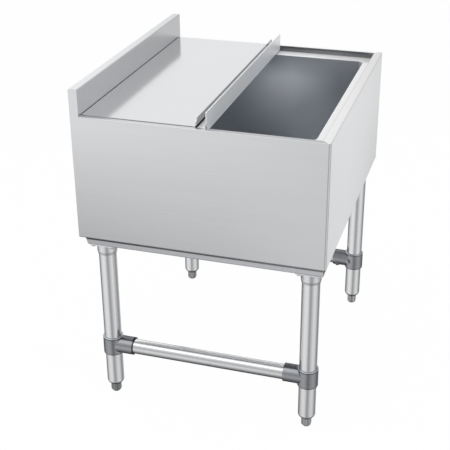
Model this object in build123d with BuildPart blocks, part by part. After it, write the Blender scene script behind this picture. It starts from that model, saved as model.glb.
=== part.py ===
from build123d import *
import os

os.makedirs("parts", exist_ok=True)

# A free-standing ice bin. +Z is up, the front faces -Y, the left end faces -X.
# The origin is on the floor, under the middle of the body. All sizes are in millimetres.

# The body
body_width = 609.6
body_depth = 533.4
body_height = 273.05
floor_clearance = 406.4
end_rim_width = 11.5
front_rim_width = 18.7
sheet = 1.2
corner_bend_inside = 3.3
edge_bend_inside = 0.8
foot_bend_inside = 2.0

# The backsplash
splash_height = 57.15
splash_thickness = 19.05
splash_bend_inside = 1.6
splash_foot = 12.0
splash_back_drop = 30.0
rear_flange_width = 15.0

# The well, and the sunk track where the lids run
track_depth = 14.0
end_ledge_width = 30.0
front_ledge_width = 20.0
rear_ledge_width = 20.0
well_floor_height = 27.0
well_corner = 16.0
well_floor_bend = 12.0
well_mouth_round = 1.6
liner_rear_gap = 1.0
board_gap = 0.5

# The lids
lid_side_gap = 1.0
lid_to_lid_gap = 2.1
plate_gap = 2.0
rear_lid_proud = 1.2
rear_lid_tail_gap = 1.5
front_lid_tail_gap = 4.65
rear_handle_y = 3.0
rear_handle_rise = 16.5
rear_handle_hem = 8.0
handle_spacing = 20.5
front_handle_rise = 31.0
front_lid_foot = 10.0
front_foot_gap = 4.0
rear_handle_corner = 12.0
front_handle_corner = 4.0
lid_bend_inside = 1.5
fold_round = 1.1

# The leg channels under the body
channel_width = 64.0
channel_depth = 15.0
channel_wall = 1.9
channel_bend_inside = 0.8
channel_setback = 2.0
channel_front_gap = 6.5
channel_rear_gap = 14.7
channel_front_cut = 3.5
channel_rear_cut = 4.0

# The legs
leg_front_inset = 36.0
leg_rear_inset = 48.0
leg_diameter = 38.1
leg_wall = 1.6
tube_fit = 0.3

# The leg sockets and their fasteners
socket_plate_size = 58.0
socket_plate_thickness = 3.2
socket_plate_corner = 6.0
socket_wall = 2.2
socket_length = 26.7
socket_taper = 7.0
socket_lip = 0.9
socket_screw_drop = 12.0
front_screw_turn = 70.0
rear_screw_turn = 0.0
bolt_spacing = 42.0
bolt_diameter = 6.0
bolt_head = 10.0
bolt_head_height = 4.0
bolt_nut_height = 5.0
bolt_tip = 1.5
screw_fit = 0.2

# The set screws
screw_diameter = 7.0
screw_boss = 12.0
screw_boss_rise = 2.0
screw_proud = 2.5
screw_key = 3.0
screw_key_depth = 3.0

# The feet
foot_across_flats = 20.6
foot_height = 23.2
foot_tip_diameter = 17.0
foot_tip_height = 4.5
stud_diameter = 12.0
stud_length = 45.0
stud_pitch = 1.75
stud_groove = 0.7
stud_fit = 0.3
shoulder_height = 9.0
shoulder_foot_diameter = 25.0
insert_length = 24.0
insert_fit = 0.15

# The side rails and the clamps that hold them
rail_height = 128.0
rail_diameter = 33.4
rail_wall = 1.6
clamp_wall = 3.2
clamp_height = 43.0
clamp_reach = 52.0
clamp_arm_wall = 2.9
clamp_round = 1.5
rail_end_gap = 0.5
rail_stop = 24.5
clamp_screw_reach = 40.0
clamp_arm_screw_dip = 30.0
clamp_collar_screw_turn = 30.0

# The drain
drain_pipe_diameter = 33.4
drain_bore = 25.4
drain_shank_diameter = 36.0
drain_shank_below_nut = 1.2
drain_flange = 76.0
drain_flange_thickness = 4.0
drain_gasket_thickness = 2.0
drain_sump_gap = 4.0
drain_hole_gap = 1.3
drain_drop = 50.0
drain_nut_flats = 46.0
drain_nut_height = 8.0
strainer_diameter = 46.0
strainer_thickness = 1.6
strainer_hole = 5.0
strainer_pitch = 8.0
strainer_gap = 0.3

# Places that follow from the sizes above
half_width = body_width / 2
half_depth = body_depth / 2
body_bottom = floor_clearance
rim_top = body_bottom + body_height
splash_top = rim_top + splash_height
splash_y = half_depth - splash_thickness
rear_seam = rim_top - splash_back_drop
step_x = half_width - end_rim_width
step_y = -half_depth + front_rim_width
seam_y = -half_depth + corner_bend_inside + sheet
ledge_top = rim_top - track_depth
well_x = step_x - end_ledge_width
well_front = step_y + front_ledge_width
well_rear = splash_y - rear_ledge_width
well_floor = body_bottom + well_floor_height
channel_bottom = body_bottom - channel_depth
leg_x = half_width - channel_setback - channel_width / 2
leg_front_y = -half_depth + leg_front_inset
leg_rear_y = half_depth - leg_rear_inset
socket_seat = channel_bottom - socket_plate_thickness
tube_bottom = foot_height + shoulder_height
leg_radius = leg_diameter / 2
rail_radius = rail_diameter / 2
shank_radius = drain_shank_diameter / 2
spare = 10.0

sides = {"left": -1, "right": 1}
legs = {
    "front_left": (-leg_x, leg_front_y),
    "front_right": (leg_x, leg_front_y),
    "rear_left": (-leg_x, leg_rear_y),
    "rear_right": (leg_x, leg_rear_y),
}


# A plain block between two values on each axis
def block(x, y, z):
    with BuildPart() as solid:
        with BuildSketch(Plane.XY.offset(z[0])):
            with Locations(((x[0] + x[1]) / 2, (y[0] + y[1]) / 2)):
                Rectangle(x[1] - x[0], y[1] - y[0])
        extrude(amount=z[1] - z[0])
    return solid.part


# The body's outer shape with its bent edges, drawn in on every side by inset
def body_block(inset):
    with BuildPart() as solid:
        with BuildSketch(Plane.XY.offset(body_bottom + inset)):
            Rectangle(body_width - 2 * inset, body_depth - 2 * inset)
        extrude(amount=body_height - 2 * inset)
        front_corners = solid.edges().filter_by(Axis.Z).group_by(Axis.Y)[0]
        fillet(front_corners, corner_bend_inside + sheet - inset)
        top_edges = solid.faces().sort_by(Axis.Z)[-1].edges().sort_by(Axis.Y)[:-1]
        bottom_edges = solid.faces().sort_by(Axis.Z)[0].edges().sort_by(Axis.Y)[:-1]
        fillet(top_edges, edge_bend_inside + sheet - inset)
        fillet(bottom_edges, foot_bend_inside + sheet - inset)
    return solid.part


# The well's rounded shape, grown on every side but the top by grow
def well_block(grow):
    with BuildPart() as solid:
        with BuildSketch(Plane.XY.offset(well_floor - grow)):
            with Locations((0, (well_front + well_rear) / 2)):
                RectangleRounded(
                    2 * (well_x + grow),
                    well_rear - well_front + 2 * grow,
                    well_corner + grow,
                )
        extrude(amount=ledge_top - well_floor + grow)
        fillet(solid.faces().sort_by(Axis.Z)[0].edges(), well_floor_bend + grow)
    return solid.part


# A tall prism on the given outline, used to share the body's skin out among its panels
def zone(*points):
    with BuildPart() as solid:
        with BuildSketch(Plane.XY.offset(body_bottom - spare)):
            with BuildLine():
                Polyline(*points, close=True)
            make_face()
        extrude(amount=body_height + 2 * spare)
    return solid.part


# The waste at a handle's two top corners, so that they come out round
def handle_waste(half, top, corner, y):
    with BuildPart() as solid:
        with BuildSketch(Plane.XZ.offset(-y[1])):
            for side in sides.values():
                with Locations((side * (half - corner / 2), top - corner / 2)):
                    Rectangle(corner, corner)
            for side in sides.values():
                with Locations((side * (half - corner), top - corner)):
                    Circle(corner, mode=Mode.SUBTRACT)
        extrude(amount=y[1] - y[0])
    return solid.part


# A plane that faces along the given direction, with its origin at the given point
def facing(origin, direction):
    return Plane(origin=origin, z_dir=direction)


# The front panel wraps round both front corners and folds over into the front rim
with BuildPart() as front_panel:
    add(body_block(0))
    add(body_block(sheet), mode=Mode.SUBTRACT)
    add(zone(
        (-half_width - spare, seam_y),
        (-half_width, seam_y),
        (-step_x, step_y),
        (step_x, step_y),
        (half_width, seam_y),
        (half_width + spare, seam_y),
        (half_width + spare, -half_depth - spare),
        (-half_width - spare, -half_depth - spare),
    ), mode=Mode.INTERSECT)
front_panel.part.label = "front_panel"
export_step(front_panel.part, "parts/front_panel.step")

# Each end panel folds over into its rim and carries the ear that closes the backsplash
for name, side in sides.items():
    with BuildPart() as end_panel:
        add(body_block(0))
        add(body_block(sheet), mode=Mode.SUBTRACT)
        add(zone(
            (side * (half_width + spare), seam_y),
            (side * half_width, seam_y),
            (side * step_x, step_y),
            (side * step_x, splash_y),
            (side * (half_width - sheet), splash_y),
            (side * (half_width - sheet), half_depth + spare),
            (side * (half_width + spare), half_depth + spare),
        ), mode=Mode.INTERSECT)
        with BuildSketch(Plane.YZ.offset(min(side * half_width, side * (half_width - sheet)))) as ear:
            ear_root = rim_top - edge_bend_inside - sheet
            with Locations(((splash_y + half_depth) / 2, (ear_root + splash_top) / 2)):
                Rectangle(splash_thickness, splash_top - ear_root)
            fillet(ear.vertices().group_by(Axis.Y)[-1], splash_bend_inside + sheet)
        extrude(amount=sheet)
    end_panel.part.label = f"{name}_end_panel"
    export_step(end_panel.part, f"parts/{name}_end_panel.step")

# The backsplash is one sheet: foot on the liner's ledge, front, top, and a drop at the back
with BuildPart() as backsplash:
    with BuildSketch(Plane.YZ.offset(-half_width + sheet)):
        with BuildLine():
            FilletPolyline(
                (splash_y + splash_foot, ledge_top),
                (splash_y, ledge_top),
                (splash_y, splash_top),
                (half_depth, splash_top),
                (half_depth, rear_seam),
                radius=splash_bend_inside + sheet,
            )
            offset(amount=sheet, side=Side.RIGHT)
        make_face()
    extrude(amount=body_width - 2 * sheet)
backsplash.part.label = "backsplash"
export_step(backsplash.part, "parts/backsplash.step")

# The rear panel closes the back under the backsplash, with a flange along its foot
with BuildPart() as rear_panel:
    with BuildSketch(Plane.YZ.offset(-half_width + sheet)):
        with BuildLine():
            FilletPolyline(
                (half_depth, rear_seam),
                (half_depth, body_bottom),
                (half_depth - rear_flange_width, body_bottom),
                radius=foot_bend_inside + sheet,
            )
            offset(amount=sheet, side=Side.RIGHT)
        make_face()
    extrude(amount=body_width - 2 * sheet)
rear_panel.part.label = "rear_panel"
export_step(rear_panel.part, "parts/rear_panel.step")

# The bottom panel lies on the flanges of the four walls
bottom_panel_bottom = body_bottom + sheet
bottom_panel_inset = sheet + foot_bend_inside
with BuildPart() as bottom_panel:
    with BuildSketch(Plane.XY.offset(bottom_panel_bottom)) as bottom_outline:
        Rectangle(body_width - 2 * bottom_panel_inset, body_depth - 2 * bottom_panel_inset)
        fillet(bottom_outline.vertices().group_by(Axis.Y)[0], corner_bend_inside)
        Circle(shank_radius + drain_hole_gap, mode=Mode.SUBTRACT)
    extrude(amount=sheet)
bottom_panel.part.label = "bottom_panel"
export_step(bottom_panel.part, "parts/bottom_panel.step")

# The liner: a tub with a sump, the sunk ledges round its mouth and their upstands
sump_radius = drain_flange / 2 + drain_sump_gap
sump_floor = well_floor - drain_gasket_thickness - drain_flange_thickness
ledge_rear = half_depth - sheet - liner_rear_gap
with BuildPart() as ice_liner:
    add(well_block(sheet))
    with BuildSketch(Plane.XY.offset(ledge_top - sheet)):
        with Locations((0, (step_y - sheet + ledge_rear) / 2)):
            Rectangle(2 * step_x + 2 * sheet, ledge_rear - step_y + sheet)
    extrude(amount=sheet)
    add(well_block(0), mode=Mode.SUBTRACT)
    mouth = ice_liner.faces().filter_by(Axis.Z).sort_by(Axis.Z)[-1].inner_wires()[0]
    fillet(mouth.edges(), well_mouth_round)
    with BuildSketch(Plane.XY.offset(ledge_top)):
        with Locations((0, (step_y - sheet + splash_y) / 2)):
            Rectangle(2 * step_x + 2 * sheet, splash_y - step_y + sheet)
        with Locations((0, (step_y + splash_y + spare) / 2)):
            Rectangle(2 * step_x, splash_y - step_y + spare, mode=Mode.SUBTRACT)
    extrude(amount=track_depth - sheet)
    with BuildSketch(Plane.XY.offset(sump_floor - sheet)):
        Circle(sump_radius + sheet)
    extrude(amount=well_floor - sump_floor)
    with BuildSketch(Plane.XY.offset(sump_floor)):
        Circle(sump_radius)
    extrude(amount=well_floor - sump_floor, mode=Mode.SUBTRACT)
    with BuildSketch(Plane.XY.offset(sump_floor)):
        Circle(shank_radius + drain_hole_gap)
    extrude(amount=-sheet, mode=Mode.SUBTRACT)
ice_liner.part.label = "ice_liner"
export_step(ice_liner.part, "parts/ice_liner.step")

# Insulation boards fill the space between the liner and the panels
board_x = half_width - sheet - board_gap
board_front = -half_depth + sheet + board_gap
board_rear = half_depth - sheet - board_gap
board_bottom = bottom_panel_bottom + sheet
board_floor = well_floor - sheet
board_top = ledge_top - sheet - board_gap
wall_front = well_front - sheet - board_gap
wall_rear = well_rear + sheet + board_gap
wall_x = well_x + sheet + board_gap
with BuildPart() as insulation_bottom:
    add(block((-board_x, board_x), (board_front, board_rear), (board_bottom, board_floor)))
    corners = insulation_bottom.edges().filter_by(Axis.Z).group_by(Axis.Y)[0]
    fillet(corners, corner_bend_inside)
    with BuildSketch(Plane.XY.offset(board_floor)):
        Circle(sump_radius + sheet + board_gap)
    extrude(amount=sump_floor - well_floor - board_gap, mode=Mode.SUBTRACT)
    with BuildSketch(Plane.XY.offset(board_bottom)):
        Circle(shank_radius + drain_hole_gap)
    extrude(amount=board_floor - board_bottom, mode=Mode.SUBTRACT)
insulation_bottom.part.label = "insulation_bottom"
export_step(insulation_bottom.part, "parts/insulation_bottom.step")

with BuildPart() as insulation_front:
    add(block((-board_x, board_x), (board_front, wall_front), (board_floor, board_top)))
    corners = insulation_front.edges().filter_by(Axis.Z).group_by(Axis.Y)[0]
    fillet(corners, corner_bend_inside)
insulation_front.part.label = "insulation_front"
export_step(insulation_front.part, "parts/insulation_front.step")

with BuildPart() as insulation_rear:
    add(block((-board_x, board_x), (wall_rear, board_rear), (board_floor, board_top)))
insulation_rear.part.label = "insulation_rear"
export_step(insulation_rear.part, "parts/insulation_rear.step")

for name, side in sides.items():
    board_span = sorted((side * wall_x, side * board_x))
    with BuildPart() as insulation_end:
        add(block(board_span, (wall_front, wall_rear), (board_floor, board_top)))
    insulation_end.part.label = f"insulation_{name}"
    export_step(insulation_end.part, f"parts/insulation_{name}.step")

# The rear lid stands on its two skirts and folds up into a hemmed handle
rear_lid_half = step_x - lid_side_gap
rear_plate_top = rim_top + rear_lid_proud
rear_plate_bottom = rear_plate_top - sheet
rear_lid_tail = splash_y - rear_lid_tail_gap
rear_handle_top = rim_top + rear_handle_rise
hem_y = rear_handle_y + 2 * sheet
with BuildPart() as rear_lid:
    with BuildSketch(Plane.YZ.offset(-rear_lid_half)):
        with BuildLine():
            FilletPolyline(
                (rear_lid_tail, rear_plate_bottom),
                (rear_handle_y, rear_plate_bottom),
                (rear_handle_y, rear_handle_top),
                radius=lid_bend_inside + sheet,
            )
            offset(amount=sheet, side=Side.RIGHT)
        make_face()
    extrude(amount=2 * rear_lid_half)
    add(block(
        (-rear_lid_half, rear_lid_half),
        (rear_handle_y, hem_y),
        (rear_handle_top - rear_handle_hem, rear_handle_top),
    ))
    hem_edges = rear_lid.edges().filter_by(Axis.X).group_by(Axis.Z)[-1]
    fillet(hem_edges, fold_round)
    rear_waste = handle_waste(
        rear_lid_half, rear_handle_top, rear_handle_corner, (rear_handle_y, hem_y)
    )
    add(rear_waste, mode=Mode.SUBTRACT)
    for side in sides.values():
        skirt = sorted((side * rear_lid_half, side * (rear_lid_half - sheet)))
        skirt_front = rear_handle_y + lid_bend_inside + sheet
        add(block(skirt, (skirt_front, rear_lid_tail), (ledge_top, rear_plate_top)))
rear_lid.part.label = "rear_lid"
export_step(rear_lid.part, "parts/rear_lid.step")

# The front lid slides under it: its doubled handle also reaches down to just above the ledge
front_lid_half = rear_lid_half - sheet - lid_to_lid_gap
front_plate_top = rear_plate_bottom - plate_gap
front_plate_bottom = front_plate_top - sheet
front_lid_tail = splash_y - front_lid_tail_gap
front_handle_y = rear_handle_y - handle_spacing
front_handle_top = rim_top + front_handle_rise
handle_back = front_handle_y + 2 * sheet
front_foot_z = ledge_top + front_foot_gap
with BuildPart() as front_lid:
    add(block(
        (-front_lid_half, front_lid_half),
        (front_handle_y, handle_back),
        (front_plate_bottom, front_handle_top),
    ))
    fillet(front_lid.edges().filter_by(Axis.X).group_by(Axis.Z)[-1], fold_round)
    front_waste = handle_waste(
        front_lid_half, front_handle_top, front_handle_corner, (front_handle_y, handle_back)
    )
    add(front_waste, mode=Mode.SUBTRACT)
    with BuildSketch(Plane.YZ.offset(-front_lid_half)):
        with BuildLine():
            FilletPolyline(
                (front_handle_y, front_plate_top),
                (front_handle_y, front_foot_z),
                (front_handle_y + front_lid_foot, front_foot_z),
                radius=lid_bend_inside + sheet,
            )
            offset(amount=sheet, side=Side.LEFT)
        make_face()
    extrude(amount=2 * front_lid_half)
    add(block(
        (-front_lid_half, front_lid_half),
        (front_handle_y + sheet, front_lid_tail),
        (front_plate_bottom, front_plate_top),
    ))
    for side in sides.values():
        skirt = sorted((side * front_lid_half, side * (front_lid_half - sheet)))
        add(block(skirt, (handle_back, front_lid_tail), (ledge_top, front_plate_top)))
front_lid.part.label = "front_lid"
export_step(front_lid.part, "parts/front_lid.step")

# A U channel under each end carries two legs
channel_front = -half_depth + channel_front_gap
channel_rear = half_depth - channel_rear_gap
for name, side in sides.items():
    with BuildPart() as leg_channel:
        with BuildSketch(Plane.YZ.offset(side * leg_x - channel_width / 2)):
            with BuildLine():
                Polyline(
                    (channel_front, body_bottom),
                    (channel_rear, body_bottom),
                    (channel_rear - channel_rear_cut, channel_bottom),
                    (channel_front + channel_front_cut, channel_bottom),
                    (channel_front, channel_bottom + channel_front_cut),
                    close=True,
                )
            make_face()
        extrude(amount=channel_width)
        long_edges = leg_channel.edges().filter_by(Axis.Y).group_by(Axis.Z)[0]
        fillet(long_edges, channel_bend_inside + channel_wall)
        with BuildSketch(Plane.XZ.offset(-half_depth)) as hollow:
            with Locations((side * leg_x, body_bottom)):
                Rectangle(
                    channel_width - 2 * channel_wall,
                    2 * (channel_depth - channel_wall),
                )
            fillet(hollow.vertices().group_by(Axis.Y)[0], channel_bend_inside)
        extrude(amount=body_depth, mode=Mode.SUBTRACT)
        with BuildSketch(Plane.XY.offset(channel_bottom)):
            with Locations((side * leg_x, leg_front_y), (side * leg_x, leg_rear_y)):
                with GridLocations(bolt_spacing, bolt_spacing, 2, 2):
                    Circle(bolt_diameter / 2 + screw_fit)
        extrude(amount=channel_wall, mode=Mode.SUBTRACT)
    leg_channel.part.label = f"{name}_leg_channel"
    export_step(leg_channel.part, f"parts/{name}_leg_channel.step")

# Each leg has a socket, a tube, a shouldered insert in the tube's foot and a levelling foot
socket_bore = leg_radius + tube_fit
socket_radius = socket_bore + socket_wall
socket_bottom = socket_seat - socket_length
socket_screw_z = socket_seat - socket_screw_drop
screw_radius = screw_diameter / 2
insert_radius = leg_radius - leg_wall - insert_fit
stud_radius = stud_diameter / 2
stud_turns = int(stud_length / stud_pitch)
foot_corner = RegularPolygon(foot_across_flats / 2, 6, major_radius=False).radius
socket_screws = []
for name, (x, y) in legs.items():
    inward = -1 if x > 0 else 1
    turn = front_screw_turn if y < 0 else rear_screw_turn
    toward_middle = Vector(inward, 0, 0).rotate(Axis.Z, inward * turn if y < 0 else -inward * turn)
    socket_screws.append(facing((x, y, socket_screw_z), toward_middle))

    with BuildPart() as leg_socket:
        with BuildSketch(Plane.XY.offset(socket_seat)):
            with Locations((x, y)):
                RectangleRounded(socket_plate_size, socket_plate_size, socket_plate_corner)
        extrude(amount=socket_plate_thickness)
        with BuildSketch(Plane.XZ.offset(-y)):
            with BuildLine():
                Polyline(
                    (x, socket_bottom),
                    (x + socket_bore + socket_lip, socket_bottom),
                    (x + socket_radius, socket_bottom + socket_taper),
                    (x + socket_radius, socket_seat),
                    (x, socket_seat),
                    close=True,
                )
            make_face()
        revolve(axis=Axis((x, y, 0), (0, 0, 1)))
        with BuildSketch(socket_screws[-1]):
            Circle(screw_boss / 2)
        extrude(amount=socket_radius + screw_boss_rise)
        with BuildSketch(Plane.XY.offset(socket_bottom)):
            with Locations((x, y)):
                Circle(socket_bore)
        extrude(amount=socket_length, mode=Mode.SUBTRACT)
        with BuildSketch(socket_screws[-1]):
            Circle(screw_radius + screw_fit)
        extrude(amount=socket_radius + screw_boss_rise, mode=Mode.SUBTRACT)
        with BuildSketch(Plane.XY.offset(socket_seat)):
            with Locations((x, y)):
                with GridLocations(bolt_spacing, bolt_spacing, 2, 2):
                    Circle(bolt_diameter / 2 + screw_fit)
        extrude(amount=socket_plate_thickness, mode=Mode.SUBTRACT)
    leg_socket.part.label = f"{name}_leg_socket"
    export_step(leg_socket.part, f"parts/{name}_leg_socket.step")

    with BuildPart() as leg_tube:
        with BuildSketch(Plane.XY.offset(tube_bottom)):
            with Locations((x, y)):
                Circle(leg_radius)
                Circle(leg_radius - leg_wall, mode=Mode.SUBTRACT)
        extrude(amount=socket_seat - tube_bottom)
    leg_tube.part.label = f"{name}_leg_tube"
    export_step(leg_tube.part, f"parts/{name}_leg_tube.step")

    with BuildPart() as foot_insert:
        with BuildSketch(Plane.XZ.offset(-y)):
            with BuildLine():
                shoulder_rim = (x + leg_radius, tube_bottom)
                shoulder_foot = (x + shoulder_foot_diameter / 2, foot_height)
                TangentArc(shoulder_rim, shoulder_foot, tangent=(0, -1))
                Polyline(shoulder_foot, (x, foot_height), (x, tube_bottom), shoulder_rim)
            make_face()
        revolve(axis=Axis((x, y, 0), (0, 0, 1)))
        with BuildSketch(Plane.XY.offset(tube_bottom)):
            with Locations((x, y)):
                Circle(insert_radius)
        extrude(amount=insert_length)
        with BuildSketch(Plane.XY.offset(foot_height)):
            with Locations((x, y)):
                Circle(stud_radius + stud_fit)
        extrude(amount=shoulder_height + insert_length, mode=Mode.SUBTRACT)
    foot_insert.part.label = f"{name}_foot_insert"
    export_step(foot_insert.part, f"parts/{name}_foot_insert.step")

    with BuildPart() as levelling_foot:
        with BuildSketch(Plane.XY):
            with Locations((x, y)):
                RegularPolygon(foot_across_flats / 2, 6, major_radius=False)
        extrude(amount=foot_height)
        with BuildSketch(Plane.XZ.offset(-y)):
            with BuildLine():
                Polyline(
                    (x, 0),
                    (x + foot_tip_diameter / 2, 0),
                    (x + foot_corner, foot_tip_height),
                    (x + foot_corner, foot_height),
                    (x, foot_height),
                    close=True,
                )
            make_face()
        revolve(axis=Axis((x, y, 0), (0, 0, 1)), mode=Mode.INTERSECT)
        with BuildSketch(Plane.XZ.offset(-y)):
            with BuildLine():
                ridges = [(x, foot_height), (x + stud_radius - stud_groove, foot_height)]
                for turn_number in range(stud_turns):
                    groove_z = foot_height + turn_number * stud_pitch
                    ridges.append((x + stud_radius, groove_z + stud_pitch / 2))
                    ridges.append((x + stud_radius - stud_groove, groove_z + stud_pitch))
                ridges.append((x, foot_height + stud_turns * stud_pitch))
                Polyline(*ridges, close=True)
            make_face()
        revolve(axis=Axis((x, y, 0), (0, 0, 1)))
    levelling_foot.part.label = f"{name}_levelling_foot"
    export_step(levelling_foot.part, f"parts/{name}_levelling_foot.step")

# Bolts come up through the socket flanges into nuts inside the channels
with BuildPart() as socket_bolts:
    with BuildSketch(Plane.XY.offset(socket_seat - bolt_head_height)):
        with Locations(*legs.values()):
            with GridLocations(bolt_spacing, bolt_spacing, 2, 2):
                RegularPolygon(bolt_head / 2, 6, major_radius=False)
    extrude(amount=bolt_head_height)
    with BuildSketch(Plane.XY.offset(socket_seat)):
        with Locations(*legs.values()):
            with GridLocations(bolt_spacing, bolt_spacing, 2, 2):
                Circle(bolt_diameter / 2)
    extrude(amount=socket_plate_thickness + channel_wall + bolt_nut_height + bolt_tip)
socket_bolts.part.label = "socket_bolts"
export_step(socket_bolts.part, "parts/socket_bolts.step")

with BuildPart() as socket_nuts:
    with BuildSketch(Plane.XY.offset(channel_bottom + channel_wall)):
        with Locations(*legs.values()):
            with GridLocations(bolt_spacing, bolt_spacing, 2, 2):
                RegularPolygon(bolt_head / 2, 6, major_radius=False)
                Circle(bolt_diameter / 2 + screw_fit, mode=Mode.SUBTRACT)
    extrude(amount=bolt_nut_height)
socket_nuts.part.label = "socket_nuts"
export_step(socket_nuts.part, "parts/socket_nuts.step")


# A set screw on the given plane, from its point at one distance out to its head at another
def set_screw(plane, point, head):
    with BuildPart() as solid:
        with BuildSketch(plane.offset(point)):
            Circle(screw_radius)
        extrude(amount=head - point)
        with BuildSketch(plane.offset(head - screw_key_depth)):
            RegularPolygon(screw_key / 2, 6, major_radius=False)
        extrude(amount=screw_key_depth, mode=Mode.SUBTRACT)
    return solid.part


# A screw's flat point stops where it meets the round tube behind it
socket_screw_head = socket_radius + screw_boss_rise + screw_proud
with BuildPart() as socket_set_screws:
    for plane in socket_screws:
        add(set_screw(plane, leg_radius + screw_fit, socket_screw_head))
socket_set_screws.part.label = "socket_set_screws"
export_step(socket_set_screws.part, "parts/socket_set_screws.step")

# A clamp on each leg holds the end of a side rail
collar_bore = leg_radius + tube_fit
collar_radius = collar_bore + clamp_wall
arm_bore = rail_radius + tube_fit
arm_radius = arm_bore + clamp_arm_wall
clamp_screws = []
for name, (x, y) in legs.items():
    inward = -1 if x > 0 else 1
    along = 1 if y < 0 else -1
    arm_plane = facing((x, y, rail_height), (0, along, 0))
    collar_direction = Vector(inward, 0, 0).rotate(Axis.Z, inward * along * clamp_collar_screw_turn)
    arm_direction = Vector(inward, 0, 0).rotate(Axis.Y, inward * clamp_arm_screw_dip)
    collar_screw = facing((x, y, rail_height), collar_direction)
    arm_screw = facing((x, y + along * clamp_screw_reach, rail_height), arm_direction)
    clamp_screws.append((collar_screw, leg_radius, collar_radius))
    clamp_screws.append((arm_screw, rail_radius, arm_radius))

    with BuildPart() as tee_clamp:
        with BuildSketch(Plane.XY.offset(rail_height - clamp_height / 2)):
            with Locations((x, y)):
                Circle(collar_radius)
        extrude(amount=clamp_height)
        fillet(tee_clamp.edges(), clamp_round)
        with BuildSketch(arm_plane):
            Circle(arm_radius)
        extrude(amount=clamp_reach)
        for plane, radius in ((collar_screw, collar_radius), (arm_screw, arm_radius)):
            with BuildSketch(plane):
                Circle(screw_boss / 2)
            extrude(amount=radius + screw_boss_rise)
        with BuildSketch(Plane.XY.offset(rail_height - clamp_height / 2)):
            with Locations((x, y)):
                Circle(collar_bore)
        extrude(amount=clamp_height, mode=Mode.SUBTRACT)
        with BuildSketch(arm_plane.offset(rail_stop)):
            Circle(arm_bore)
        extrude(amount=clamp_reach - rail_stop, mode=Mode.SUBTRACT)
        for plane, radius in ((collar_screw, collar_radius), (arm_screw, arm_radius)):
            with BuildSketch(plane):
                Circle(screw_radius + screw_fit)
            extrude(amount=radius + screw_boss_rise + screw_proud, mode=Mode.SUBTRACT)
    tee_clamp.part.label = f"{name}_tee_clamp"
    export_step(tee_clamp.part, f"parts/{name}_tee_clamp.step")

with BuildPart() as clamp_set_screws:
    for plane, tube_radius, outer_radius in clamp_screws:
        screw_head = outer_radius + screw_boss_rise + screw_proud
        add(set_screw(plane, tube_radius + screw_fit, screw_head))
clamp_set_screws.part.label = "clamp_set_screws"
export_step(clamp_set_screws.part, "parts/clamp_set_screws.step")

# A side rail runs from clamp to clamp at each end
rail_start = leg_front_y + rail_stop + rail_end_gap
rail_finish = leg_rear_y - rail_stop - rail_end_gap
for name, side in sides.items():
    with BuildPart() as side_rail:
        with BuildSketch(facing((side * leg_x, rail_start, rail_height), (0, 1, 0))):
            Circle(rail_radius)
            Circle(rail_radius - rail_wall, mode=Mode.SUBTRACT)
        extrude(amount=rail_finish - rail_start)
    side_rail.part.label = f"{name}_side_rail"
    export_step(side_rail.part, f"parts/{name}_side_rail.step")

# The drain: a flanged outlet on a gasket in the sump, clamped by a nut under the body
flange_bottom = sump_floor + drain_gasket_thickness
nut_bottom = bottom_panel_bottom - drain_nut_height
shank_end = nut_bottom - drain_shank_below_nut
drain_end = body_bottom - drain_drop
with BuildPart() as drain_body:
    with BuildSketch(Plane.XY.offset(flange_bottom)):
        Circle(drain_flange / 2)
    extrude(amount=drain_flange_thickness)
    with BuildSketch(Plane.XY.offset(shank_end)):
        Circle(shank_radius)
    extrude(amount=flange_bottom - shank_end)
    with BuildSketch(Plane.XY.offset(drain_end)):
        Circle(drain_pipe_diameter / 2)
    extrude(amount=shank_end - drain_end)
    with BuildSketch(Plane.XY.offset(drain_end)):
        Circle(drain_bore / 2)
    extrude(amount=well_floor - drain_end, mode=Mode.SUBTRACT)
    with BuildSketch(Plane.XY.offset(well_floor - strainer_thickness)):
        Circle(strainer_diameter / 2 + strainer_gap)
    extrude(amount=strainer_thickness, mode=Mode.SUBTRACT)
drain_body.part.label = "drain_body"
export_step(drain_body.part, "parts/drain_body.step")

strainer_points = [
    (column * strainer_pitch, row * strainer_pitch)
    for column in range(-2, 3)
    for row in range(-2, 3)
    if abs(column) + abs(row) < 3
]
with BuildPart() as drain_strainer:
    with BuildSketch(Plane.XY.offset(well_floor - strainer_thickness)):
        Circle(strainer_diameter / 2)
        with Locations(*strainer_points):
            Circle(strainer_hole / 2, mode=Mode.SUBTRACT)
    extrude(amount=strainer_thickness)
drain_strainer.part.label = "drain_strainer"
export_step(drain_strainer.part, "parts/drain_strainer.step")

with BuildPart() as drain_gasket:
    with BuildSketch(Plane.XY.offset(sump_floor)):
        Circle(drain_flange / 2)
        Circle(shank_radius + drain_hole_gap, mode=Mode.SUBTRACT)
    extrude(amount=drain_gasket_thickness)
drain_gasket.part.label = "drain_gasket"
export_step(drain_gasket.part, "parts/drain_gasket.step")

with BuildPart() as drain_locknut:
    with BuildSketch(Plane.XY.offset(nut_bottom)):
        RegularPolygon(drain_nut_flats / 2, 6, major_radius=False)
        Circle(shank_radius + screw_fit, mode=Mode.SUBTRACT)
    extrude(amount=drain_nut_height)
drain_locknut.part.label = "drain_locknut"
export_step(drain_locknut.part, "parts/drain_locknut.step")
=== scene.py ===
import math

import bpy
from mathutils import Matrix, Vector

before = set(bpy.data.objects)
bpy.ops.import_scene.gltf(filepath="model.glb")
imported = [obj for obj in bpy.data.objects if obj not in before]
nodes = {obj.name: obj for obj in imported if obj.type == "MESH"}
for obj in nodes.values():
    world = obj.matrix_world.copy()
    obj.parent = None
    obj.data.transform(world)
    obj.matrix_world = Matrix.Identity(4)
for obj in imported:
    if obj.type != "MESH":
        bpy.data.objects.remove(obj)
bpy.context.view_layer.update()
bpy.ops.object.select_all(action="DESELECT")
print("frame loaded,", len(nodes), "nodes")


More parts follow.
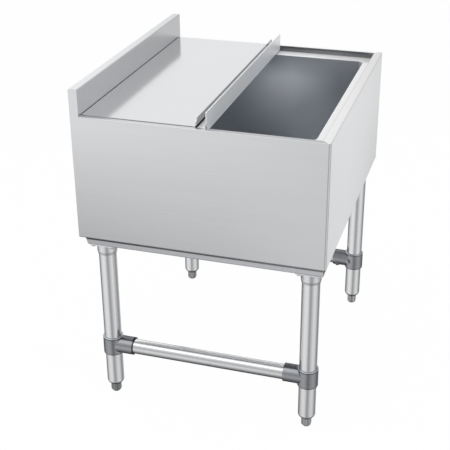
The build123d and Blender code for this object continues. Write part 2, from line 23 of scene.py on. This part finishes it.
# camera, at the photograph's place
camera = {
    "place": (-1.9724, -0.5804, 1.3630),
    "yaw": 72.625,              # from +Y towards +X
    "pitch": -25.455,
    "roll": 0.45,
    "lens": 78.15,
    "sensor": 36.0,
    "shift": -0.05,
}


def addCamera():
    bpy.ops.object.camera_add(location=camera["place"])
    eye = bpy.context.object
    eye.name = "camera"
    eye.data.sensor_width = camera["sensor"]
    eye.data.lens = camera["lens"]
    eye.data.shift_y = camera["shift"]
    turn = Matrix.Rotation(math.radians(-camera["yaw"]), 4, "Z")
    tip = Matrix.Rotation(math.radians(90 + camera["pitch"]), 4, "X")
    lean = Matrix.Rotation(math.radians(-camera["roll"]), 4, "Z")
    eye.matrix_world = Matrix.Translation(camera["place"]) @ turn @ tip @ lean
    bpy.context.scene.camera = eye
    bpy.context.scene.view_settings.view_transform = "Standard"


addCamera()
print("camera placed")


class Signal:                           # one output of a node, which can be reckoned with
    def __init__(self, finish, socket):
        self.finish = finish
        self.socket = socket

    def __add__(self, other):
        return self.finish.maths("ADD", self, other)

    def __radd__(self, other):
        return self.finish.maths("ADD", other, self)

    def __sub__(self, other):
        return self.finish.maths("SUBTRACT", self, other)

    def __rsub__(self, other):
        return self.finish.maths("SUBTRACT", other, self)

    def __mul__(self, other):
        return self.finish.maths("MULTIPLY", self, other)

    def __rmul__(self, other):
        return self.finish.maths("MULTIPLY", other, self)


turnedAway, turnedTo = 0.6, 0.9         # how well a surface has to match the way it should face
acrossAxes = {"X": (0, 1, 1), "Y": (1, 0, 1), "Z": (1, 1, 0)}       # the axes across each one


class Finish:                           # a node tree under construction
    def __init__(self, tree):
        self.tree = tree
        self.tree.nodes.clear()

    def add(self, kind, settings=None, inputs=None, output=0):
        node = self.tree.nodes.new(kind)
        for name, value in (settings or {}).items():
            if name == "stops":         # a ramp's places and levels
                self.setStops(node.color_ramp.elements, value)
            else:
                setattr(node, name, value)
        for name, value in (inputs or {}).items():
            socket = node.inputs[name]
            if isinstance(value, Signal):
                self.tree.links.new(value.socket, socket)
            else:
                socket.default_value = value
        return Signal(self, node.outputs[output]) if len(node.outputs) else None

    def setStops(self, elements, stops):
        while len(elements) < len(stops):
            elements.new(0.5)
        for element, (place, level) in zip(elements, stops):
            element.position = place
            element.color = (level, level, level, 1)

    def other(self, signal, output):    # another output of the same node
        return Signal(self, signal.socket.node.outputs[output])

    def maths(self, operation, first, second):
        return self.add("ShaderNodeMath", {"operation": operation}, {0: first, 1: second})

    def place(self, scale=(1, 1, 1), shift=(0, 0, 0)):
        spot = self.add("ShaderNodeTexCoord", output="Object")
        inputs = {"Vector": spot, "Scale": scale, "Location": shift}
        return self.add("ShaderNodeMapping", None, inputs)

    def along(self, axis):              # how far along an axis of the bin, in metres
        return self.add("ShaderNodeSeparateXYZ", None, {0: self.place()}, output=axis)

    def facing(self, way):              # 1 where the surface faces that way, 0 where it doesn't
        surface = self.add("ShaderNodeNewGeometry", output="Normal")
        match = self.add("ShaderNodeVectorMath", {"operation": "DOT_PRODUCT"}, {0: surface, 1: way},
                         output="Value")
        return self.range(match, turnedAway, turnedTo)

    def noise(self, scale, shift=(0, 0, 0), detail=2.0, roughness=0.5):
        inputs = {"Vector": self.place(scale, shift), "Scale": 1.0, "Detail": detail,
                  "Roughness": roughness}
        return self.add("ShaderNodeTexNoise", {"noise_dimensions": "3D"}, inputs)

    def cloud(self, scale, **rest):     # noise that is alike on every axis
        return self.noise((scale, scale, scale), **rest)

    def lines(self, axis, pitch, length, **rest):       # noise drawn out along one axis
        scale = tuple(1 / pitch if across else 1 / length for across in acrossAxes[axis])
        return self.noise(scale, **rest)

    def range(self, value, low, high, newLow=0.0, newHigh=1.0):
        inputs = {"Value": value, "From Min": low, "From Max": high, "To Min": newLow, "To Max": newHigh}
        return self.add("ShaderNodeMapRange", {"clamp": True}, inputs)

    def blend(self, share, first, second):      # from one colour to another
        if not isinstance(first, Signal):
            first = (*first, 1)
        return self.add("ShaderNodeMix", {"data_type": "RGBA", "blend_type": "MIX"},
                        {0: share, 6: first, 7: (*second, 1)}, output=2)

    def tint(self, colour, level):      # a colour made lighter or darker
        return self.add("ShaderNodeVectorMath", {"operation": "SCALE"}, {0: colour, "Scale": level})

    def relief(self, height, strength, distance):
        inputs = {"Height": height, "Strength": strength, "Distance": distance}
        return self.add("ShaderNodeBump", None, inputs)


def newMaterial(name):
    material = bpy.data.materials.new(name)
    material.use_nodes = True
    return material, Finish(material.node_tree)


def dress(material, *names):
    for name in names:
        slots = nodes[name].data.materials
        slots.clear()
        slots.append(material)


# A zone is a part of a piece that is unlike the rest. It fades in along an axis, from the first place
# of a span to the second, and can be kept to faces that look one way.
def addZones(finish, look, level, rough):
    colour, metal = look["colour"], look["metal"]
    for zone in look["zones"]:
        share = 1.0
        for axis, start, end in zone["spans"]:
            share = share * finish.range(finish.along(axis), start, end)
        if "faces" in zone:
            share = share * finish.facing(zone["faces"])
        if "colour" in zone:
            colour = finish.blend(share, colour, zone["colour"])
        if "tone" in zone:
            level = level + share * zone["tone"]
        if "rough" in zone:
            rough = rough + share * zone["rough"]
        if "metal" in zone:
            metal = metal + share * zone["metal"]
    return finish.tint(colour, level), rough, metal


def endFinish(finish, look, level, rough, height):      # zones, the shader and its output
    colour, rough, metal = addZones(finish, look, level, rough)
    inputs = {"Base Color": colour, "Roughness": rough, "Metallic": metal, "Specular Tint": look["edge"],
              "Normal": finish.relief(height, look["bump"], look["depth"])}
    shader = finish.add("ShaderNodeBsdfPrincipled", None, inputs)
    finish.add("ShaderNodeOutputMaterial", None, {"Surface": shader})


plain = (1, 1, 1, 1)                    # no tint, or plain white

sheet = {
    "colour": (0.745, 0.757, 0.772),
    "edge": plain,
    "rough": 0.20,
    "roughSwing": 0.04,
    "toneSwing": 0.05,
    "axis": "Y",
    "grain": {"pitch": 0.0014, "length": 0.35, "detail": 3.0, "roughness": 0.6},
    "bands": {"pitch": 0.011, "length": 0.9, "shift": (3.1, 7.7, 1.9)},
    "bandShare": 0.7,
    "cloud": {"scale": 3.0, "shift": (0.4, 2.2, 5.1)},
    "cloudShare": 0.6,
    "bump": 0.08,
    "depth": 0.0002,
    "metal": 0.94,
    "zones": (),
}


def brushed(name, look):                # rolled or polished sheet, with its grain along one axis
    material, finish = newMaterial(name)
    swing = look["toneSwing"]
    grain = finish.lines(look["axis"], **look["grain"])
    bands = finish.lines(look["axis"], **look["bands"])
    cloud = finish.cloud(**look["cloud"])
    level = 1.0 + (grain - 0.5) * swing + (bands - 0.5) * (swing * look["bandShare"])
    level = level + (cloud - 0.5) * (swing * look["cloudShare"])
    rough = look["rough"] + (grain - 0.5) * look["roughSwing"] + (cloud - 0.5) * look["roughSwing"]
    endFinish(finish, look, level, rough, grain)
    return material


up, front, left, right = (0, 0, 1), (0, -1, 0), (-1, 0, 0), (1, 0, 0)
# hands have rubbed the front lid's handle matt, and its face is lightened with painted light, with a
# painted highlight along its foot; the rear handle's face is darkened with painted shade
frontHandleMattPaintedLight = {"spans": (("Z", 0.666, 0.668),), "faces": front, "tone": 0.24, "rough": 0.20, "metal": -0.30}
handleFootPaintedHighlight = {"spans": (("Z", 0.6730, 0.6718),), "faces": front, "tone": 0.20, "metal": -0.45}
rearHandlePaintedShade = {"spans": (("Z", 0.6822, 0.6832),), "faces": front, "tone": -0.56, "rough": 0.05}
# between the handles the front lid gets painted light, and painted shade along the rear lid's edge
lidStripPaintedLight = {"spans": (("Y", -0.0175, -0.0165), ("Y", 0.0026, 0.0018)), "faces": up,
            "colour": (0.98, 0.98, 0.98), "rough": 0.10, "metal": -0.75}
lidEdgePaintedShade = {"spans": (("Y", 0.0018, 0.0026), ("Y", 0.0062, 0.0050)), "faces": up, "tone": -0.80}
# painted shade: the gap under the rear lid's front edge is painted near black
rearGapPaintedShade = {"spans": (("Z", 0.6832, 0.6822), ("Y", 0.0050, 0.0042)), "tone": -0.96}
# the lids have rubbed the ledges matt, and they are lightened with painted light, with painted shade at the
# front right end; the upstands round the ledges are darkened with painted shade, most of all at the back
ledgesMattPaintedLight = {"spans": (("Z", 0.6636, 0.6646),), "faces": up, "colour": (0.86, 0.86, 0.865), "rough": 0.25,
          "metal": -0.25}
ledgeEndsPaintedShade = {"spans": (("X", 0.250, 0.262), ("Y", -0.10, -0.21), ("Z", 0.6636, 0.6646)), "tone": -0.24}
upstandsPaintedShade = {"spans": (("Z", 0.6656, 0.6662),), "colour": (0.26, 0.265, 0.275), "rough": -0.08,
            "metal": 0.20}
upstandsBackPaintedShade = {"spans": (("Z", 0.6656, 0.6662), ("Y", -0.15, -0.06)), "tone": -0.35}
# painted light lies on the middle of the well's sides, painted shade on its front, and a painted
# highlight on its front right corner
wellSidesPaintedLight = {"spans": (("Y", 0.11, 0.0), ("Y", -0.17, -0.05), ("Z", 0.45, 0.58), ("Z", 0.662, 0.61)),
              "tone": 0.72, "metal": -0.30}
wellFrontPaintedShade = {"spans": (("Y", -0.06, -0.20), ("Z", 0.6646, 0.6636)), "tone": -0.24}
wellCornerPaintedHighlight = {"spans": (("X", 0.250, 0.256), ("Y", -0.216, -0.222), ("Z", 0.55, 0.60),
                        ("Z", 0.6643, 0.6633)), "tone": 0.60}
# the front rim is rubbed matt and lightened with painted light, with a line of painted shade along its
# step; the front carries painted shade towards the right and low down
frontRimMattPaintedLight = {"spans": (("Z", 0.6775, 0.6785),), "faces": up, "colour": (0.88, 0.88, 0.885), "rough": 0.10}
frontStepPaintedShade = {"spans": (("Y", -0.2500, -0.2490), ("Z", 0.6775, 0.6785)), "tone": -0.16}
frontLowPaintedShade = {"spans": (("X", -0.05, 0.30), ("Z", 0.60, 0.42)), "tone": -0.16}
frontFarPaintedShade = {"spans": (("X", -0.15, 0.30),), "tone": -0.13}
# the end panels carry painted shade low down and towards the back
panelFootPaintedShade = {"spans": (("Z", 0.66, 0.41), ("Y", -0.27, -0.05)), "tone": -0.20}
panelBackPaintedShade = {"spans": (("Z", 0.66, 0.41), ("Y", -0.05, 0.26)), "tone": -0.12}
# the left rim carries painted shade, most of all beside the well, and the right one painted light
leftRimPaintedShade = {"spans": (("Z", 0.678, 0.679),), "faces": up, "tone": -0.12}
wellRimPaintedShade = {"spans": (("Z", 0.678, 0.679), ("Y", -0.015, -0.022)), "faces": up, "tone": -0.22}
rightRimPaintedLight = {"spans": (("Z", 0.678, 0.679),), "faces": up, "colour": (0.98, 0.98, 0.98)}
# the backsplash carries painted shade towards the right, and painted light on its top
splashFarPaintedShade = {"spans": (("X", -0.20, 0.25),), "tone": -0.16}
splashTopPaintedLight = {"spans": (("Z", 0.7345, 0.7355),), "faces": up, "tone": 0.14}

sheetPieces = {
    "left_end_panel": {"rough": 0.26, "bump": 0.05, "zones": (panelFootPaintedShade, panelBackPaintedShade, leftRimPaintedShade, wellRimPaintedShade)},
    "right_end_panel": {"rough": 0.26, "bump": 0.05, "zones": (panelFootPaintedShade, panelBackPaintedShade, rightRimPaintedLight)},
    "front_panel": {"axis": "X", "rough": 0.24, "colour": (0.715, 0.725, 0.74),
                    "zones": (frontFarPaintedShade, frontLowPaintedShade, frontRimMattPaintedLight, frontStepPaintedShade)},
    "rear_panel": {"axis": "X", "rough": 0.30},
    "bottom_panel": {"axis": "X", "rough": 0.34, "colour": (0.80, 0.81, 0.82), "metal": 0.45},
    "backsplash": {"axis": "X", "rough": 0.28, "colour": (0.71, 0.72, 0.735), "bump": 0.01,
                   "toneSwing": 0.015, "roughSwing": 0.01, "zones": (splashFarPaintedShade, splashTopPaintedLight)},
    "rear_lid": {"rough": 0.13, "toneSwing": 0.02, "roughSwing": 0.02, "bump": 0.02,
                 "zones": (rearHandlePaintedShade, rearGapPaintedShade)},
    "front_lid": {"axis": "X", "rough": 0.26, "zones": (frontHandleMattPaintedLight, handleFootPaintedHighlight, lidStripPaintedLight, lidEdgePaintedShade)},
    "ice_liner": {"axis": "X", "rough": 0.32, "metal": 0.68, "colour": (0.64, 0.67, 0.71),
                  "zones": (wellSidesPaintedLight, wellFrontPaintedShade, wellCornerPaintedHighlight, ledgesMattPaintedLight, ledgeEndsPaintedShade, upstandsPaintedShade, upstandsBackPaintedShade)},
}

for piece, change in sheetPieces.items():
    dress(brushed(piece + "Finish", {**sheet, **change}), piece)
print("sheet metal finished")


# painted shade lies in the seams under the body's ends, and the channels are lighter towards the front end
paintedSeamShadeHeight = ("Z", 0.4026, 0.4040)
channel = {
    "colour": (0.50, 0.51, 0.53),
    "edge": plain,
    "rough": 0.36,
    "toneSwing": 0.12,
    "spangle": 0.006,
    "facetRough": 0.10,
    "cloud": {"scale": 9.0, "detail": 3.0},
    "cloudRough": 0.08,
    "rolling": {"axis": "Y", "pitch": 0.0022, "length": 0.3},
    "rollingShare": 2.0,
    "bump": 0.08,
    "depth": 0.0003,
    "metal": 0.92,
    "zones": ({"spans": (paintedSeamShadeHeight,), "faces": left, "tone": -0.85},
              {"spans": (paintedSeamShadeHeight,), "faces": right, "tone": -0.85},
              {"spans": (("Y", 0.20, -0.25),), "tone": 0.30}),
}


def galvanised(name, look):             # zinc crystals over the lines that rolling left
    material, finish = newMaterial(name)
    swing = look["toneSwing"]
    size = 1 / look["spangle"]
    cells = finish.add("ShaderNodeTexVoronoi", {"feature": "F1"},
                       {"Vector": finish.place((size, size, size)), "Scale": 1.0}, output="Color")
    facet = finish.add("ShaderNodeSeparateColor", None, {"Color": cells})
    cloud = finish.cloud(**look["cloud"])
    rolling = finish.lines(**look["rolling"])
    level = 1.0 + (facet - 0.5) * swing + (cloud - 0.5) * swing
    level = level + (rolling - 0.5) * (swing * look["rollingShare"])
    rough = look["rough"] + (facet - 0.5) * look["facetRough"] + (cloud - 0.5) * look["cloudRough"]
    endFinish(finish, look, level, rough, facet + cloud)
    return material


dress(galvanised("galvanisedSheet", channel), "left_leg_channel", "right_leg_channel")

tube = {
    "colour": (0.80, 0.81, 0.825),
    "edge": (0.45, 0.46, 0.48, 1),
    "rough": 0.19,
    "toneSwing": 0.06,
    "grain": {"pitch": 0.0035 / 3, "length": 0.25, "detail": 3.0},
    "grainShare": 0.6,
    "streaks": {"pitch": 0.0070, "length": 1.2, "shift": (2.7, 0.3, 6.1), "detail": 1.0},
    "streakRough": 0.04,
    "cloud": {"scale": 12.0, "shift": (1.0, 9.0, 3.0), "detail": 3.0},
    "cloudRough": 0.05,
    "bump": 0.02,
    "depth": 0.0002,
    "metal": 0.96,
    "zones": (),
}


def drawn(name, look, axis):            # fine lines along the tube, with soft streaks of tone
    material, finish = newMaterial(name)
    swing = look["toneSwing"]
    grain = finish.lines(axis, **look["grain"])
    streaks = finish.lines(axis, **look["streaks"])
    cloud = finish.cloud(**look["cloud"])
    level = 1.0 + (grain - 0.5) * (swing * look["grainShare"]) + (streaks - 0.5) * swing
    rough = look["rough"] + (streaks - 0.5) * look["streakRough"] + (cloud - 0.5) * look["cloudRough"]
    endFinish(finish, look, level, rough, grain)
    return material


# the rails get painted light on top and below, with a painted dark reflection of the body's underside
# between
railTopPaintedLight = {"spans": (("Z", 0.1385, 0.1398),), "tone": 0.42}
railPaintedDarkReflection = {"spans": (("Z", 0.1404, 0.1415), ("Z", 0.1436, 0.1425)), "tone": -0.55}
railFootPaintedLight = {"spans": (("Z", 0.1160, 0.1135),), "tone": 0.40}
rail = {**tube, "colour": (0.70, 0.71, 0.725), "zones": (railTopPaintedLight, railPaintedDarkReflection, railFootPaintedLight)}

# painted shade at the feet's upper ends, under the tubes, and at their lower ends, by the floor
footTopPaintedShade = {"spans": (("Z", 0.0200, 0.0215), ("Z", 0.0240, 0.0233)), "tone": -0.70}
footTipPaintedShade = {"spans": (("Z", 0.0030, 0.0012),), "tone": -0.60}
foot = {**tube, "colour": (0.36, 0.365, 0.375), "rough": 0.12, "toneSwing": 2.8,
        "grain": {**tube["grain"], "pitch": 0.0014 / 3},
        "streaks": {**tube["streaks"], "pitch": 0.0028},
        "metal": 0.92, "zones": (footTopPaintedShade, footTipPaintedShade)}

corners = ("front_left", "front_right", "rear_left", "rear_right")
dress(drawn("tubeUpright", tube, "Z"), *[corner + "_leg_tube" for corner in corners])
dress(drawn("tubeLevel", rail, "Y"), "left_side_rail", "right_side_rail")
dress(drawn("footMetal", foot, "Z"), *[corner + "_levelling_foot" for corner in corners])

casting = {
    "colour": (0.76, 0.77, 0.785),
    "edge": (0.45, 0.46, 0.48, 1),
    "rough": 0.22,
    "toneSwing": 0.10,
    "grit": 0.0012,
    "gritRough": 0.10,
    "cloud": {"scale": 40.0, "shift": (6.0, 2.0, 8.0), "detail": 3.0},
    "cloudShare": 1.2,
    "cloudRough": 0.12,
    "bump": 0.15,
    "depth": 0.0003,
    "metal": 0.92,
    "zones": (),
}


def cast(name, look):                   # the even, gritty skin of castings and small fittings
    material, finish = newMaterial(name)
    swing = look["toneSwing"]
    grit = finish.cloud(1 / look["grit"])
    cloud = finish.cloud(**look["cloud"])
    level = 1.0 + (grit - 0.5) * swing + (cloud - 0.5) * (swing * look["cloudShare"])
    rough = look["rough"] + (grit - 0.5) * look["gritRough"] + (cloud - 0.5) * look["cloudRough"]
    endFinish(finish, look, level, rough, grit + cloud)
    return material


insertFootPaintedShade = {"spans": (("Z", 0.0288, 0.0268),), "tone": -0.92}     # insertFootPaintedShade = {"spans": (("Z", 0.0288, 0.0268),), "tone": -0.92} # painted shade along the lower edge
# the clamps get a painted highlight on their top edge, with painted shade below it and at the other edges
clampTopPaintedHighlight = {"spans": (("Z", 0.1484, 0.1490),), "tone": 0.60}
clampRingPaintedShade = {"spans": (("Z", 0.1450, 0.1458), ("Z", 0.1484, 0.1478)), "tone": -0.48}
clampFootPaintedShade = {"spans": (("Z", 0.1100, 0.1086),), "tone": -0.45}
clampEndPaintedShade = {"spans": (("Y", 0.1692, 0.1682), ("Y", 0.10, 0.12)), "tone": -0.60}

castings = {
    "castSocket": ({}, [corner + "_leg_socket" for corner in corners]),
    "castInsert": ({"rough": 0.13, "bump": 0.04, "zones": (insertFootPaintedShade,)},
                   [corner + "_foot_insert" for corner in corners]),
    "castClamp": ({"colour": (0.35, 0.36, 0.38), "rough": 0.24, "metal": 0.94, "bump": 0.10,
                   "zones": (clampTopPaintedHighlight, clampRingPaintedShade, clampFootPaintedShade, clampEndPaintedShade)},
                  [corner + "_tee_clamp" for corner in corners]),
    "zincFastener": ({"colour": (0.55, 0.56, 0.58), "grit": 0.0006},
                     ["socket_bolts", "socket_nuts", "socket_set_screws", "clamp_set_screws"]),
    "drainSteel": ({"colour": (0.60, 0.61, 0.63), "rough": 0.3},
                   ["drain_body", "drain_strainer", "drain_locknut"]),
    "gasketRubber": ({"colour": (0.025, 0.025, 0.025), "rough": 0.7, "metal": 0.0, "edge": plain},
                     ["drain_gasket"]),
    "foamBoard": ({"colour": (0.82, 0.78, 0.66), "rough": 0.9, "metal": 0.0, "grit": 0.002, "edge": plain},
                  ["insulation_" + side for side in ("bottom", "front", "rear", "left", "right")]),
}

for finishName, (change, pieces) in castings.items():
    dress(cast(finishName, {**casting, **change}), *pieces)
print("tubes, castings and fittings finished")


floor = {
    "radius": 14.0,
    "sides": 96,
    "colour": (0.70, 0.70, 0.70, 1),
    "white": 0.98,              # how far camera rays see it as plain white
}


def addRays(finish):
    eye = finish.add("ShaderNodeLightPath", output="Is Camera Ray")
    return eye, finish.other(eye, "Is Glossy Ray"), finish.other(eye, "Is Transmission Ray")


def addFloor():
    bpy.ops.mesh.primitive_circle_add(vertices=floor["sides"], radius=floor["radius"], fill_type="NGON",
                                      location=(0, 0, 0))
    ground = bpy.context.object
    ground.name = "floor"
    material, finish = newMaterial("floorPale")
    matt = finish.add("ShaderNodeBsdfDiffuse", None, {"Color": floor["colour"]})
    white = finish.add("ShaderNodeEmission", None, {"Color": plain, "Strength": 1.0})
    gone = finish.add("ShaderNodeBsdfTransparent", None, {"Color": plain})
    eye, glossy, clear = addRays(finish)
    seen = finish.add("ShaderNodeMixShader", None, {0: eye * floor["white"], 1: matt, 2: white})
    both = finish.add("ShaderNodeMixShader", None, {0: glossy + clear, 1: seen, 2: gone})
    finish.add("ShaderNodeOutputMaterial", None, {"Surface": both})
    ground.data.materials.append(material)


addFloor()

sky = {
    "light": 0.62,              # what lights matt surfaces
    "mirror": 1.0,              # what metal shows
    # the studio overhead: degrees from +X up and over to -X, where the camera stands, and how bright
    "over": ((0, 0.68), (22, 0.70), (40, 0.71), (88, 0.72), (100, 0.90), (112, 1.0), (128, 0.96),
             (142, 0.70), (154, 0.50), (168, 0.40), (180, 0.42)),
    "gain": 1.4,
    "frontSide": 0.68,          # how bright it is towards the bin's front
    "sideFrom": -0.27,
    "sideTo": 0.20,
    "horizon": (-0.10, 0.04),
    # the studio below the horizon, as metal shows it: degrees round from +X, and how bright
    "around": ((0, 0.95), (17, 0.80), (48, 0.28), (80, 0.46), (104, 0.80), (128, 1.0), (150, 0.97),
               (168, 0.88), (180, 0.56), (192, 0.38), (206, 0.46), (222, 0.70), (246, 0.90),
               (264, 0.86), (282, 0.66), (300, 0.36), (322, 0.36), (338, 0.88), (350, 0.98), (360, 0.95)),
    # dimmer lower down, and much dimmer straight down, in the bin's shade
    "slopes": (((-0.50, 0.90), (-0.34, 1.0)), ((-0.72, 0.60), (-0.59, 1.0)), ((-0.98, 0.30), (-0.75, 1.0))),
}


def addSky():
    world = bpy.data.worlds.new("studio")
    bpy.context.scene.world = world
    world.use_nodes = True
    finish = Finish(world.node_tree)
    away = finish.add("ShaderNodeTexCoord", output="Generated")
    x = finish.add("ShaderNodeSeparateXYZ", None, {0: away}, output="X")
    y, z = finish.other(x, "Y"), finish.other(x, "Z")
    arch = finish.range(finish.maths("ARCTAN2", finish.maths("MAXIMUM", z, 0), x), 0, math.pi)
    stops = [(degrees / 180, level) for degrees, level in sky["over"]]
    high = finish.add("ShaderNodeValToRGB", {"stops": stops}, {"Fac": arch}) * sky["gain"]
    high = high * finish.range(y, sky["sideFrom"], sky["sideTo"], sky["frontSide"], 1.0)
    turn = finish.range(finish.maths("ARCTAN2", 0 - y, 0 - x), -math.pi, math.pi)
    stops = [(degrees / 360, level) for degrees, level in sky["around"]]
    low = finish.add("ShaderNodeValToRGB", {"stops": stops}, {"Fac": turn})
    for (lower, dim), (upper, bright) in sky["slopes"]:
        low = low * finish.range(z, lower, upper, dim, bright)
    level = low + (high - low) * finish.range(z, *sky["horizon"])
    eye, glossy, clear = addRays(finish)
    strength = level * (sky["light"] + (glossy + clear) * (sky["mirror"] - sky["light"]))
    lit = finish.add("ShaderNodeBackground", None, {"Color": plain, "Strength": strength})
    white = finish.add("ShaderNodeBackground", None, {"Color": plain, "Strength": 1.0})
    both = finish.add("ShaderNodeMixShader", None, {0: eye, 1: lit, 2: white})
    finish.add("ShaderNodeOutputWorld", None, {"Surface": both})


addSky()

lamps = {
    "left": {"place": (-0.9, 2.1, 1.2), "size": (1.4, 2.0), "power": 34.0},
    "right": {"place": (-1.0, -2.3, 1.3), "size": (1.4, 2.0), "power": 42.0},
    "top": {"place": (0.4, 0.0, 2.9), "size": (3.4, 3.4), "power": 34.0},
}
lampTarget = Vector((0, 0, 0.4))        # the middle of the bin


def addLamp(name, lamp):
    bpy.ops.object.light_add(type="AREA", location=lamp["place"])
    light = bpy.context.object
    light.name = name
    light.data.shape = "RECTANGLE"
    light.data.size, light.data.size_y = lamp["size"]
    light.data.energy = lamp["power"]
    aim = lampTarget - Vector(lamp["place"])
    light.rotation_mode = "QUATERNION"
    light.rotation_quaternion = aim.to_track_quat("-Z", "Y")
    light.visible_glossy = False        # metal shows the studio alone


for lampName, lampLook in lamps.items():
    addLamp(lampName, lampLook)
print("floor, sky and lamps placed")
